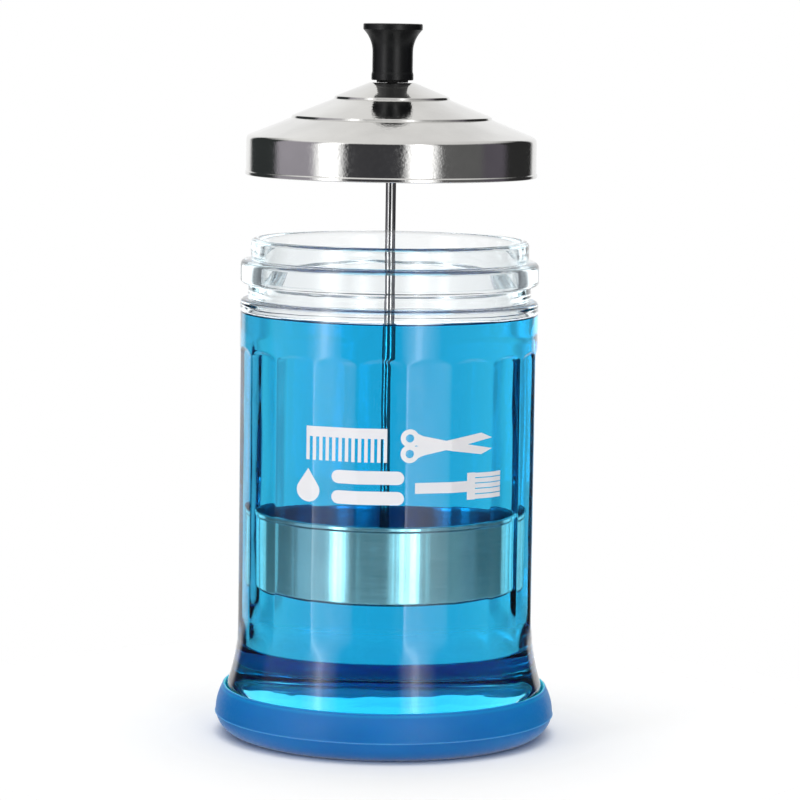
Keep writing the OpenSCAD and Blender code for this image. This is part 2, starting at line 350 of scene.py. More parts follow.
def blend_colours(tree, factor, first, second):
    made = node(tree, "ShaderNodeMix", data_type="RGBA")
    for socket, value in ((0, factor), (6, first), (7, second)):
        if isinstance(value, bpy.types.NodeSocket):
            tree.links.new(value, made.inputs[socket])
        else:
            made.inputs[socket].default_value = value
    return made.outputs[2]


def bump(tree, height, strength, distance, normal=None):
    wires = {"Height": height, "Strength": strength, "Distance": distance}
    if normal is not None:
        wires["Normal"] = normal
    return node(tree, "ShaderNodeBump", wires).outputs[0]


def polar(tree, place):
    """Radius, angle and height of a point, about the jar's axis"""
    split = node(tree, "ShaderNodeSeparateXYZ", {0: place})
    x, y, z = split.outputs
    return hypotenuse(tree, x, y), maths(tree, "ARCTAN2", y, x), z


def along_x(tree, value):
    """A place that only the value moves, for a pattern in one direction"""
    return node(tree, "ShaderNodeCombineXYZ", {0: value}).outputs[0]


# ---- Finishes ----

def clear_shader(tree, ior, rough, ripple):
    """A colourless shader that light goes through"""
    return node(
        tree,
        "ShaderNodeBsdfPrincipled",
        {
            "Base Color": (1.0, 1.0, 1.0, 1),
            "Roughness": rough,
            "IOR": ior,
            "Transmission Weight": 1.0,
            "Normal": ripple,
        },
    ).outputs[0]


def finish_glass():
    """Pressed glass. Where the liquid wets its inside, it bends light less."""
    material, tree, output, place = start_material("pressed_glass")
    swell = noise(tree, stretched(tree, place, (1, 1, 0.5)), 45.0, 1.5)
    ripple = bump(tree, swell, 0.10, 0.004)
    smear = noise(tree, place, 60.0, 3.0)
    rough = spread(tree, smear, 0.35, 0.75, 0.0, 0.02)
    radius, _, z = polar(tree, place)
    inside = maths(tree, "LESS_THAN", radius, (CAVITY_R + 2) * MM)
    under = maths(tree, "LESS_THAN", z, (LIQUID_Z + 1.4) * MM)
    over = maths(tree, "GREATER_THAN", z, (GLASS_FLOOR - 1) * MM)
    wet = both(tree, both(tree, inside, under), over)
    dry_glass = clear_shader(tree, GLASS_IOR, rough, ripple)
    wet_glass = clear_shader(tree, GLASS_IOR / LIQUID_IOR, rough, ripple)
    mixed = node(tree, "ShaderNodeMixShader", {0: wet, 1: dry_glass, 2: wet_glass}).outputs[0]
    tint = node(
        tree, "ShaderNodeVolumeAbsorption", {"Color": (0.2, 0.80, 0.95, 1), "Density": 6.0}
    )
    tree.links.new(mixed, output.inputs["Surface"])
    tree.links.new(tint.outputs[0], output.inputs["Volume"])
    return material


def finish_liquid():
    """Clear blue disinfectant. Only its open top bends light, as the glass does the rest."""
    material, tree, output, place = start_material("blue_liquid")
    ripple = bump(tree, noise(tree, place, 30.0, 1.0), 0.03, 0.002)
    radius, _, z = polar(tree, place)
    inner = maths(tree, "LESS_THAN", radius, (CAVITY_R - 0.35) * MM)
    upper = maths(tree, "GREATER_THAN", z, (LIQUID_Z - 3) * MM)
    wall = maths(tree, "SUBTRACT", 1.0, both(tree, inner, upper))
    open_top = clear_shader(tree, LIQUID_IOR, 0.0, ripple)
    held = clear_shader(tree, 1.0, 0.0, ripple)
    mixed = node(tree, "ShaderNodeMixShader", {0: wall, 1: open_top, 2: held}).outputs[0]
    dye = node(
        tree, "ShaderNodeVolumeAbsorption", {"Color": (0.15, 0.82, 0.935, 1), "Density": 50.0}
    )
    tree.links.new(mixed, output.inputs["Surface"])
    tree.links.new(dye.outputs[0], output.inputs["Volume"])
    return material


def metal(name, tone, rough, relief, anisotropic=0.0):
    """Finishes a steel or brass surface. rough and relief are functions of the tree and the
    place that return a roughness and a normal."""
    material, tree, output, place = start_material(name)
    cloud = vary(tree, noise(tree, place, 55.0, 3.0), 0.0, 1.0)
    dark = tuple(0.86 * c for c in tone) + (1,)
    inputs = {
        "Base Color": blend_colours(tree, cloud, dark, tone + (1,)),
        "Metallic": 1.0,
        "Roughness": rough(tree, place),
        "Normal": relief(tree, place),
    }
    if anisotropic:
        inputs["Anisotropic"] = anisotropic
        inputs["Anisotropic Rotation"] = 0.25
        inputs["Tangent"] = node(
            tree, "ShaderNodeTangent", direction_type="RADIAL", axis="Z"
        ).outputs[0]
    shader = node(tree, "ShaderNodeBsdfPrincipled", inputs)
    tree.links.new(shader.outputs[0], output.inputs["Surface"])
    return material


def finish_polished_steel():
    """The lid: spun rings on its cones and a fine grain on its skirt"""

    def rough(tree, place):
        radius, _, z = polar(tree, place)
        rings = noise(tree, along_x(tree, radius), 900.0, 2.0)
        grain = noise(tree, place, 700.0, 2.0)
        skirt = spread(tree, z, (HEM_Z + 14) * MM, (HEM_Z + 12.5) * MM, 0.0, 1.0)
        smooth = vary(tree, rings, 0.04, 0.09)
        grained = vary(tree, grain, 0.07, 0.15)
        return node(tree, "ShaderNodeMix", {0: skirt, 2: smooth, 3: grained}).outputs[0]

    def relief(tree, place):
        rings = noise(tree, along_x(tree, polar(tree, place)[0]), 1500.0, 3.0)
        grain = noise(tree, place, 1100.0, 2.0)
        return bump(tree, grain, 0.12, 0.0002, bump(tree, rings, 0.05, 0.0002))

    return metal("polished_steel", (0.76, 0.755, 0.74), rough, relief)


def finish_brushed_steel():
    """The basket: fine lines brushed round the band"""

    def lines(tree, place, scale):
        radius, angle, z = polar(tree, place)
        coords = node(
            tree,
            "ShaderNodeCombineXYZ",
            {0: maths(tree, "MULTIPLY", angle, 0.0012), 1: radius, 2: z},
        ).outputs[0]
        return noise(tree, coords, scale, 3.0, 0.6)

    def rough(tree, place):
        return vary(tree, lines(tree, place, 1800.0), 0.20, 0.26)

    def relief(tree, place):
        round_it = maths(tree, "MULTIPLY", polar(tree, place)[1], BASKET_R * MM)
        dents = bump(tree, noise(tree, along_x(tree, round_it), 260.0, 2.0), 0.35, 0.0002)
        return bump(tree, lines(tree, place, 2600.0), 0.10, 0.0002, dents)

    return metal("brushed_steel", (0.78, 0.76, 0.765), rough, relief, anisotropic=0.9)


def finish_bright_steel():
    """The rod, nuts and steel washers: drawn along their length"""

    def rough(tree, place):
        drawn = noise(tree, stretched(tree, place, (1, 1, 0.05)), 900.0)
        return vary(tree, drawn, 0.07, 0.16)

    def relief(tree, place):
        return bump(tree, noise(tree, stretched(tree, place, (1, 1, 0.04)), 1400.0), 0.15, 0.0002)

    return metal("bright_steel", (0.42, 0.42, 0.42), rough, relief)


def finish_brass():
    """The knob's threaded insert"""

    def rough(tree, place):
        return vary(tree, noise(tree, place, 600.0), 0.2, 0.35)

    def relief(tree, place):
        return bump(tree, noise(tree, place, 900.0), 0.2, 0.0002)

    return metal("turned_brass", (0.72, 0.53, 0.24), rough, relief)


def finish_vinyl():
    """The boot: satin soft vinyl, slightly cloudy, with fine mould texture, and its inside painted
    a paler blue as painted light
    """
    material, tree, output, place = start_material("blue_vinyl")
    cloud = noise(tree, place, 25.0, 3.0)
    pores = noise(tree, place, 900.0, 2.0)
    deep_blue, light_blue = (0.003, 0.17, 0.50, 1), (0.005, 0.205, 0.57, 1)
    # Painted light: a lighter blue for the painted highlight along the seam's ridge, and a paler
    # blue painted on the boot's inside
    seam_highlight_blue, painted_light_blue = (0.10, 0.36, 0.74, 1), (0.0, 0.72, 1.0, 1)
    tone = blend_colours(tree, vary(tree, cloud, 0.0, 1.0), deep_blue, light_blue)
    radius, _, z = polar(tree, place)
    # Painted highlight: the seam's ridge is lightened where light would catch it
    from_seam = maths(tree, "ABSOLUTE", maths(tree, "SUBTRACT", z, (SEAM_Z + 0.15) * MM))
    seam = spread(tree, from_seam, 0.15 * MM, 0.4 * MM, 0.55, 0.0)
    tone = blend_colours(tree, seam, tone, seam_highlight_blue)
    across = maths(tree, "SUBTRACT", radius, HEEL_C[0] * MM)
    along = maths(tree, "SUBTRACT", z, HEEL_C[1] * MM)
    from_heel = hypotenuse(tree, across, along)
    # Painted light: the boot's inside, where the glass's heel sits, is painted a paler blue than
    # its outside. This stands in for light that reaches it through the glass and the soft wall.
    painted_light = spread(tree, from_heel, PAINTED_LIGHT_R * MM, PAINTED_LIGHT_END * MM, 1.0, 0.0)
    tone = blend_colours(tree, painted_light, tone, painted_light_blue)
    shader = node(
        tree,
        "ShaderNodeBsdfPrincipled",
        {
            "Base Color": tone,
            "Roughness": vary(tree, pores, 0.36, 0.5),
            "IOR": 1.42,
            "Subsurface Weight": 0.8,
            "Subsurface Radius": (0.1, 0.5, 0.9),
            "Subsurface Scale": 0.0045,
            "Normal": bump(tree, pores, 0.08, 0.0003),
        },
    )
    tree.links.new(shader.outputs[0], output.inputs["Surface"])
    return material


def plain_plastic(name, tone, low, high, grain, depth):
    """A solid-coloured plastic, fibre or ink with a fine grain, rough from low to high"""
    material, tree, output, place = start_material(name)
    fine = noise(tree, place, grain, 3.0)
    cloud = noise(tree, place, grain / 14, 2.0)
    light = tuple(min(1.0, c * 1.35 + 0.002) for c in tone) + (1,)
    shader = node(
        tree,
        "ShaderNodeBsdfPrincipled",
        {
            "Base Color": blend_colours(
                tree, spread(tree, cloud, 0.35, 0.7, 0.0, 0.6), tone + (1,), light
            ),
            "Roughness": vary(tree, fine, low, high),
            "IOR": 1.4,
            "Normal": bump(tree, fine, depth, 0.0003),
        },
    )
    tree.links.new(shader.outputs[0], output.inputs["Surface"])
    return material


GLASS = finish_glass()
LIQUID = finish_liquid()
POLISHED = finish_polished_steel()
BRUSHED = finish_brushed_steel()
BRIGHT = finish_bright_steel()
BRASS = finish_brass()
VINYL = finish_vinyl()
KNOB_PLASTIC = plain_plastic("black_plastic", (0.0025, 0.003, 0.0035), 0.34, 0.42, 800.0, 0.03)
FIBRE = plain_plastic("black_fibre", (0.014, 0.014, 0.014), 0.6, 0.85, 500.0, 0.4)
INK = plain_plastic("white_ink", (0.90, 0.91, 0.96), 0.4, 0.6, 700.0, 0.1)


def finished(piece, material, body, slot, *nodes):
    """Gives a piece its material, its body and the CAD nodes that it stands for. The slot is not
    used.
    """
    piece.data.materials.clear()
    piece.data.materials.append(material)
    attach(piece, body)
    if nodes:
        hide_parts(*nodes)


# ---- Glass jar ----

def inner_wave(angles, z):
    """The slight unevenness of the pressed cavity"""
    return 0.07 * np.sin(3 * angles + z / 19) + 0.05 * np.sin(5 * angles - z / 11 + 1.3)


def cavity_row(r, z, angles):
    """Radii of one row of the cavity, less uneven towards the neck"""
    share = min(1, (WALL_TOP - 4 - z) / WALL_FADE)
    return r + inner_wave(angles, z) * share * (r / CAVITY_R)


def smooth_step(t):
    """Rises from 0 to 1 with soft ends"""
    t = np.clip(t, 0, 1)
    return t * t * (3 - 2 * t)


def panel_columns():
    """Angles of the glass's columns, closest together at the edges between the panels"""
    offsets = (-9, -8.66, -8.2, -7.4, -6, -4, -2, 0, 2, 4, 6, 7.4, 8.2, 8.66)
    angles = [
        360 / PANELS * k - 90 + PANEL_TURN + offset for k in range(PANELS) for offset in offsets
    ]
    return np.radians(angles)


def panel_face(r, z, angles):
    """Radius of the outside of the body, flat across each panel between its two arches"""
    pitch = TAU / PANELS
    turn = math.radians(PANEL_TURN - 90)
    off = (angles - turn + pitch / 2) % pitch - pitch / 2
    across = BODY_R * np.sin(off)
    depth = BODY_R - PANEL_R / np.cos(off)
    depth = (depth + np.sqrt(depth * depth + RIDGE_SOFT**2)) / 2
    arch_r = (ARCH_HALF**2 + ARCH_RISE**2) / (2 * ARCH_RISE)
    drop = arch_r - np.sqrt(arch_r**2 - across**2)
    upper = smooth_step((PANEL_HIGH - drop - z) / ARCH_SOFT)
    lower = smooth_step((z - PANEL_LOW) / LOWER_FADE)
    return r - depth * upper * lower


def make_glass():
    """The jar, from the middle of its underside out and up to the rim, and down inside"""
    punt_z = GLASS_FOOT + PUNT_DEPTH
    under = rounded(
        [(0, punt_z, 0), (HEEL_C[0] - 9, punt_z, 1.5), (HEEL_C[0] - 6, GLASS_FOOT, 1.0),
         (HEEL_C[0], GLASS_FOOT, 0)]
    )
    foot = arc(HEEL_C, HEEL_R, -90, FLARE_END, 16)[1:]
    foot += arc(FLARE_C, FLARE_R, 180 + FLARE_END, 180 + FLARE_START, 20)[1:]
    body = rows_between(FLARE_TOP, PANEL_LOW + LOWER_FADE, 0.75)[1:]
    body += rows_between(body[-1], PANEL_HIGH - 8, 9.0)[1:]
    body += rows_between(body[-1], PANEL_HIGH + 1, 0.5)[1:]
    first_body = len(under) + len(foot)
    last_body = first_body + len(body)
    upper = rounded(
        [(BODY_R, PANEL_HIGH + 1, 0), (BODY_R, NECK_LOW, 2.3), (LOWER_NECK_R, NECK_LOW, 0.6),
         (LOWER_NECK_R, BEAD_LOW, 0.6), (BEAD_R, BEAD_LOW, 2.3), (BEAD_R, BEAD_TOP, 2.3),
         (NECK_R, BEAD_TOP, 0.6), (NECK_R, RIM_Z, 1.8), (MOUTH_R, RIM_Z, 1.8),
         (MOUTH_R, BEAD_LOW, 8.0), (CAVITY_R, WALL_TOP, 14.0), (CAVITY_R, CAVITY_HIGH, 0)],
        steps=8,
    )[1:]
    first_inner = last_body + len(upper)
    round_z = GLASS_FLOOR + CAVITY_ROUND
    wall = [(CAVITY_R, z) for z in rows_between(CAVITY_HIGH, round_z, 8.0)[1:]]
    corner = arc((CAVITY_R - CAVITY_ROUND, round_z), CAVITY_ROUND, 0, -90, 12)[1:]
    floor = [(r, GLASS_FLOOR) for r in FLOOR_RINGS] + [(0, GLASS_FLOOR)]
    outline = under + foot + [(BODY_R, z) for z in body] + upper + wall + corner + floor

    def shape(i, r, z, angles):
        radii, levels = np.full(len(angles), r), np.full(len(angles), z)
        if first_body <= i < last_body:
            radii = panel_face(r, z, angles)
        if i >= first_inner:
            radii = cavity_row(r, z, angles)
        return radii, levels

    return turned("glass_jar_body", outline, panel_columns(), shape=shape)


def make_liquid():
    """The liquid, up its wall and over its top, which creeps up where it meets the glass"""
    inner = CAVITY_R + WETTING
    low = GLASS_FLOOR - WETTING
    round_z = GLASS_FLOOR + CAVITY_ROUND
    creep_height, creep_width = 1.5, 0.9
    outline = [(0, low)] + [(r, low) for r in reversed(FLOOR_RINGS)]
    outline += arc((CAVITY_R - CAVITY_ROUND, round_z), CAVITY_ROUND + WETTING, -90, 0, 12)
    outline += [(inner, z) for z in rows_between(round_z, CAVITY_HIGH, 8.0)[1:]]
    outline += [(inner, WALL_TOP - 6)]
    wall_rows = len(outline)
    outline += [(inner - d, LIQUID_Z + creep_height * math.exp(-d / creep_width))
                for d in (0, 0.25, 0.5, 0.9, 1.4, 2.2, 3.2, 5)]
    outline += [(r, LIQUID_Z) for r in (40, 20, 0)]

    def shape(i, r, z, angles):
        radii, levels = np.full(len(angles), r), np.full(len(angles), z)
        if i < wall_rows:
            radii = cavity_row(r, z, angles)
        return radii, levels

    return turned("disinfectant_liquid", outline, even_columns(280), shape=shape, sharp=60)


finished(make_glass(), GLASS, "jar", "clear_glass", "glass_jar")
finished(make_liquid(), LIQUID, "jar", "blue_liquid")


# ---- Boot ----

def make_boot():
    """The boot: a round lower bulge, a seam, a flatter side and a lip that holds the foot"""
    seam_out, lip_rise, gap = 0.25, 0.9, 0.15
    outer = reach("base_boot") - seam_out
    bulge_r, side_r = 9.5, 20.0
    hole_r, hole_edge = 41.0, 41.4
    side_c = (outer - side_r, SEAM_Z + 0.5)
    lip_z = BOOT_TOP - lip_rise
    side_end = math.degrees(math.asin((lip_z - side_c[1]) / side_r))
    lip_slope = math.degrees(math.asin((FLARE_C[1] - lip_z) / FLARE_R))
    lip_in = FLARE_C[0] + gap - FLARE_R * math.cos(math.radians(lip_slope))
    lip_out = side_c[0] + side_r * math.cos(math.radians(side_end))
    half = (lip_out - lip_in) / 2
    bulge_end = math.degrees(math.asin(SEAM_Z / bulge_r - 1))
    outline = [(hole_r, 0.3), (hole_edge, 0.0)]
    outline += arc((outer - bulge_r, bulge_r), bulge_r, -90, bulge_end, 16)
    outline += [(outer + 0.12, SEAM_Z), (outer + seam_out, SEAM_Z + 0.08),
                (outer + seam_out, SEAM_Z + 0.2), (outer + 0.1, SEAM_Z + 0.28),
                (outer - 0.02, SEAM_Z + 0.5)]
    outline += arc(side_c, side_r, 0, side_end, 12)[1:]
    outline += [(lip_in + half * (1 + math.cos(a)), lip_z + lip_rise * math.sin(a))
                for a in np.radians(np.linspace(20, 160, 8))]
    outline += [(lip_in, lip_z)]
    flare_c, heel_c = (FLARE_C[0] + gap, FLARE_C[1]), (HEEL_C[0] + gap, HEEL_C[1])
    outline += arc(flare_c, FLARE_R, 180 + lip_slope, 180 + FLARE_END, 4)[1:]
    outline += arc(heel_c, HEEL_R, FLARE_END, -90, 14)[1:]
    outline += [(hole_edge, GLASS_FOOT), (hole_r, GLASS_FOOT - 0.3)]
    return turned("boot_skin", outline, even_columns(360), closed=True, sharp=50)


finished(make_boot(), VINYL, "jar", "blue_vinyl", "base_boot")


# ---- Lid ----

def make_lid():
    """The lid: a flat top, three cones with a small step between them, and a skirt"""
    skirt_r = reach("lid_shell")
    slope = math.tan(math.radians(22))
    step_2, step_1, flat_r = 38.0, 21.8, 8.6
    run, drop = 0.35, 1.0
    hem_out = 0.35
    z_1 = LID_TOP - (step_1 - flat_r) * slope
    z_2 = z_1 - drop - (step_2 - step_1 - run) * slope
    z_shoulder = z_2 - drop - (skirt_r - step_2 - run) * slope
    outer = [(ROD_R + 0.08, LID_TOP), (flat_r, LID_TOP), (step_1, z_1), (step_1 + run, z_1 - drop),
             (step_2, z_2), (step_2 + run, z_2 - drop), (skirt_r, z_shoulder), (skirt_r, HEM_Z)]
    inner = beside(outer, -SHEET)
    fillets = [0.1, 1.5, 0.35, 0.3, 0.35, 0.3, 2.2]
    inner_fillets = [0.1, 0.8, 0.3, 0.3, 0.3, 0.3, 1.4]
    corners = [p + (f,) for p, f in zip(outer, fillets)]
    corners += [(skirt_r, HEM_Z + 1.7, 0.6), (skirt_r + hem_out, HEM_Z + 1.2, 0.3),
                (skirt_r + hem_out, HEM_Z, 0.35), (skirt_r - SHEET, HEM_Z, 0.3)]
    corners += [p + (f,) for p, f in zip(inner[-2::-1], inner_fillets[::-1])]
    return turned("lid_steel", rounded(corners, 6, closed=True), even_columns(360), closed=True)


finished(make_lid(), POLISHED, "lid", "polished_steel", "lid_shell")


# ---- Knob ----

def make_knob():
    """The knob: a foot, a grip hollowed under a flange, and a dished top"""
    flange_r, grip_r, foot_r = reach("knob"), 7.7, 8.0
    hollow_r = 12.0
    dish_z = KNOB_TOP - 0.3
    flange_low = KNOB_TOP - 2.2
    centre_r = grip_r + hollow_r
    rise = math.sqrt(hollow_r**2 - (centre_r - flange_r) ** 2)
    centre = (centre_r, flange_low - rise)
    end = 180 - math.degrees(math.asin(rise / hollow_r))
    bore, fit = 3.23, 0.03
    outline = [(0, INSERT_TOP + fit), (bore, INSERT_TOP + fit), (bore, KNOB_Z + 0.1)]
    outline += rounded(
        [(bore, KNOB_Z, 0), (foot_r, KNOB_Z, 0.35), (foot_r, KNOB_Z + 2.2, 1.0),
         (grip_r, KNOB_Z + 3.2, 1.0), (grip_r, centre[1] - 0.5, 0)]
    )
    outline += arc(centre, hollow_r, 180, end, 14)
    outline += rounded(
        [(flange_r, flange_low + 0.02, 0), (flange_r, KNOB_TOP, 0.5),
         (flange_r - 1.6, KNOB_TOP, 0.4), (flange_r - 2.1, dish_z, 0.4), (1.2, dish_z, 0)]
    )
    outline += [(0, dish_z)]
    return turned("knob_grip", outline, even_columns(144), sharp=40)


finished(make_knob(), KNOB_PLASTIC, "basket_lift", "black_plastic", "knob")


# ---- Rod and its threads ----

THREAD_CORE = 1.68
THREAD_PITCH = 0.7
THREAD_LOW_END = FLOOR_TOP + 9.0
THREAD_HIGH_START = heights("lid_nut")[0] - 6.0


def make_rod():
    """The rod, thinner where a thread is wound round it, with chamfered ends"""
    end_r = THREAD_CORE - 0.35
    outline = [(0, ROD_LOW), (end_r, ROD_LOW), (THREAD_CORE, ROD_LOW + 0.4),
               (THREAD_CORE, THREAD_LOW_END), (ROD_R, THREAD_LOW_END + 0.5)]
    outline += [(ROD_R, z) for z in rows_between(THREAD_LOW_END + 1, THREAD_HIGH_START - 1, 20.0)]
    outline += [(ROD_R, THREAD_HIGH_START - 0.5), (THREAD_CORE, THREAD_HIGH_START),
                (THREAD_CORE, ROD_HIGH - 0.4), (end_r, ROD_HIGH), (0, ROD_HIGH)]
    return turned("lift_rod_core", outline, even_columns(48))


def geometry_tree(name, sizes):
    """An empty Geometry Nodes tree with a named float input for each size"""
    tree = bpy.data.node_groups.new(name, "GeometryNodeTree")
    tree.interface.new_socket("Geometry", in_out="INPUT", socket_type="NodeSocketGeometry")
    for size, value in sizes.items():
        kind = "NodeSocketInt" if isinstance(value, int) else "NodeSocketFloat"
        tree.interface.new_socket(size, in_out="INPUT", socket_type=kind)
    tree.interface.new_socket("Geometry", in_out="OUTPUT", socket_type="NodeSocketGeometry")
    return tree, node(tree, "NodeGroupInput").outputs, node(tree, "NodeGroupOutput")


def ends_in(tree, geometry, output, material):
    """Ends a tree: its instances made real, and its material set"""
    real = node(tree, "GeometryNodeRealizeInstances", {0: geometry}).outputs[0]
    painted = node(tree, "GeometryNodeSetMaterial", {0: real, "Material": material}).outputs[0]
    tree.links.new(painted, output.inputs[0])


def grown(name, tree, sizes):
    """Runs a tree on an empty mesh and keeps its result as a plain mesh"""
    carrier = bpy.data.objects.new(name + "_carrier", bpy.data.meshes.new(name + "_carrier"))
    bpy.context.scene.collection.objects.link(carrier)
    modifier = carrier.modifiers.new("grow", "NODES")
    modifier.node_group = tree
    sockets = {s.name: s.identifier for s in tree.interface.items_tree if s.in_out == "INPUT"}
    for size, value in sizes.items():
        modifier[sockets[size]] = value
    evaluated = carrier.evaluated_get(bpy.context.evaluated_depsgraph_get())
    mesh = bpy.data.meshes.new_from_object(evaluated)
    carrier.modifiers.clear()
    bpy.data.objects.remove(carrier)
    made = bpy.data.objects.new(name, mesh)
    mesh.name = name
    bpy.context.scene.collection.objects.link(made)
    return made


def make_thread(name, low, high):
    """A thread wound round the rod: a spiral swept by a small six-sided wire"""
    turns = (high - low) / THREAD_PITCH
    sizes = {
        "Turns": float(turns),
        "Radius": THREAD_CORE * MM,
        "Length": (high - low) * MM,
        "Depth": (ROD_R - THREAD_CORE) * MM,
        "Start": low * MM,
    }
    tree, given, output = geometry_tree(name, sizes)
    spiral = node(
        tree,
        "GeometryNodeCurveSpiral",
        {
            "Resolution": 16,
            "Rotations": given["Turns"],
            "Start Radius": given["Radius"],
            "End Radius": given["Radius"],
            "Height": given["Length"],
        },
    ).outputs[0]
    ridge = node(
        tree, "GeometryNodeCurvePrimitiveCircle", {"Resolution": 6, "Radius": given["Depth"]}
    ).outputs[0]
    swept = node(
        tree,
        "GeometryNodeCurveToMesh",
        {"Curve": spiral, "Profile Curve": ridge, "Fill Caps": True},
    ).outputs[0]
    up = node(tree, "ShaderNodeCombineXYZ", {2: given["Start"]}).outputs[0]
    placed = node(tree, "GeometryNodeTransform", {0: swept, "Translation": up}).outputs[0]
    ends_in(tree, placed, output, BRIGHT)
    made = grown(name, tree, sizes)
    made.data.shade_smooth()
    return made


finished(make_rod(), BRIGHT, "basket_lift", "bright_steel", "lift_rod")
finished(make_thread("rod_lower_thread", ROD_LOW + 0.6, THREAD_LOW_END - 0.3),
         BRIGHT, "basket_lift", "bright_steel")
finished(make_thread("rod_upper_thread", THREAD_HIGH_START + 0.3, ROD_HIGH - 0.6),
         BRIGHT, "basket_lift", "bright_steel")


# ---- Nuts ----

def make_nut(name, low, high):
    """A hexagon nut with both faces chamfered and a countersunk bore"""
    half_flat = 3.5
    face_r = 0.94 * half_flat
    bore = ROD_R + 0.03
    chamfer = math.tan(math.radians(30))
    outline = [(bore + 0.3, low), (face_r, low), (half_flat, low + 0.1), (half_flat, high - 0.1),
               (face_r, high), (bore + 0.3, high), (bore, high - 0.3), (bore, low + 0.3)]

    def shape(i, r, z, angles):
        radii, levels = np.full(len(angles), r), np.full(len(angles), z)
        if i in (2, 3):
            radii = half_flat / np.cos((angles + TAU / 12) % (TAU / 6) - TAU / 12)
            fall = (radii - face_r) * chamfer
            levels = low + fall if i == 2 else high - fall
        return radii, levels

    return turned(name, outline, even_columns(72), closed=True, shape=shape, sharp=25)


for nut in ("lid_nut", "basket_nut", "basket_lower_nut"):
    finished(make_nut(nut + "_hex", *heights(nut)), BRIGHT, "basket_lift", "bright_steel", nut)


# ---- Basket ----

def make_band():
    """The basket's wall, with a rolled lip above and a narrow flange below"""
    inner = BASKET_R - SHEET
    lip = reach("basket_band")
    flange = inner - 3.0
    corners = [
        (flange, BAND_LOW, 0.2), (BASKET_R, BAND_LOW, 1.3), (BASKET_R, BAND_TOP - 2.1, 0.5),
        (lip, BAND_TOP - 1.6, 0.5), (lip, BAND_TOP, 0.7), (inner + 0.1, BAND_TOP, 0.5),
        (inner, BAND_TOP - 1.4, 0.4), (inner, BAND_LOW + SHEET, 0.5),
        (flange, BAND_LOW + SHEET, 0.2),
    ]
    outline = rounded(corners, 6, closed=True)
    return turned("basket_wall", outline, even_columns(300), closed=True)


def make_basket_floor():
    """The floor disc, with rings of drain holes cut through it"""
    rings = ((13.0, 9), (22.0, 15), (31.0, 22))
    cutter_length = 4.0
    sizes = {
        "Disc radius": (BASKET_R - SHEET - 0.03) * MM,
        "Disc height": SHEET * MM,
        "Level": (FLOOR_LOW + SHEET / 2) * MM,
        "Hole radius": 2.4 * MM,
        "Rod hole radius": (ROD_R + 0.03) * MM,
    }
    for k, (radius, count) in enumerate(rings):
        sizes[f"Ring {k} radius"] = radius * MM
        sizes[f"Ring {k} holes"] = count
    tree, given, output = geometry_tree("basket_floor_holes", sizes)

    def drum(sides, radius, depth):
        return node(
            tree,
            "GeometryNodeMeshCylinder",
            {"Vertices": sides, "Radius": radius, "Depth": depth},
        ).outputs[0]

    disc = drum(160, given["Disc radius"], given["Disc height"])
    punch = drum(32, given["Hole radius"], cutter_length * MM)
    joined = node(tree, "GeometryNodeJoinGeometry")
    rod_hole = drum(32, given["Rod hole radius"], cutter_length * MM)
    tree.links.new(rod_hole, joined.inputs[0])
    for k in range(len(rings)):
        circle = node(
            tree,
            "GeometryNodeMeshCircle",
            {"Vertices": given[f"Ring {k} holes"], "Radius": given[f"Ring {k} radius"]},
        ).outputs[0]
        holes = node(tree, "GeometryNodeInstanceOnPoints", {"Points": circle, "Instance": punch})
        tree.links.new(holes.outputs[0], joined.inputs[0])
    cutters = node(tree, "GeometryNodeRealizeInstances", {0: joined.outputs[0]}).outputs[0]
    cut = node(tree, "GeometryNodeMeshBoolean", operation="DIFFERENCE")
    tree.links.new(disc, cut.inputs["Mesh 1"])
    tree.links.new(cutters, cut.inputs["Mesh 2"])
    up = node(tree, "ShaderNodeCombineXYZ", {2: given["Level"]}).outputs[0]
    placed = node(tree, "GeometryNodeTransform", {0: cut.outputs[0], "Translation": up}).outputs[0]
    ends_in(tree, placed, output, BRUSHED)
    return grown("basket_sieve", tree, sizes)


finished(make_band(), BRUSHED, "basket_lift", "brushed_steel", "basket_band")
finished(make_basket_floor(), BRUSHED, "basket_lift", "brushed_steel", "basket_floor")


# ---- CAD nodes that keep their own shape ----

KEPT = {
    "front_marking": INK,
    "knob_insert": BRASS,
    "knob_washer": FIBRE,
    "lid_washer": BRIGHT,
    "lid_spring_washer": BRIGHT,
    "basket_upper_washer": BRIGHT,
    "basket_lower_washer": BRIGHT,
}
for kept, material in KEPT.items():
    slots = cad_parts[kept].data.materials
    slots.clear()
    slots.append(material)


# ---- Studio ----

def make_floor():
    """A pale round floor whose edge fades into the white room"""
    sides, floor_r = 96, 1600
    fade_start, fade_end = 85.0, 210.0
    rim = [(floor_r * math.cos(a), floor_r * math.sin(a), 0.0) for a in even_columns(sides)]
    points = [(0.0, 0.0, 0.0)] + rim
    faces = [(0, 1 + k, 1 + (k + 1) % sides) for k in range(sides)]
    floor = link_mesh("studio_floor", points, faces)
    material, tree, output, place = start_material("studio_floor")
    radius = polar(tree, place)[0]
    matt = node(tree, "ShaderNodeBsdfDiffuse", {"Color": (0.93, 0.93, 0.93, 1)}).outputs[0]
    clear = node(tree, "ShaderNodeBsdfTransparent").outputs[0]
    edge = spread(tree, radius, fade_start * MM, fade_end * MM, 0.0, 1.0)
    mixed = node(tree, "ShaderNodeMixShader", {0: edge, 1: matt, 2: clear}).outputs[0]
    tree.links.new(mixed, output.inputs["Surface"])
    floor.data.materials.append(material)
    floor.visible_glossy = False


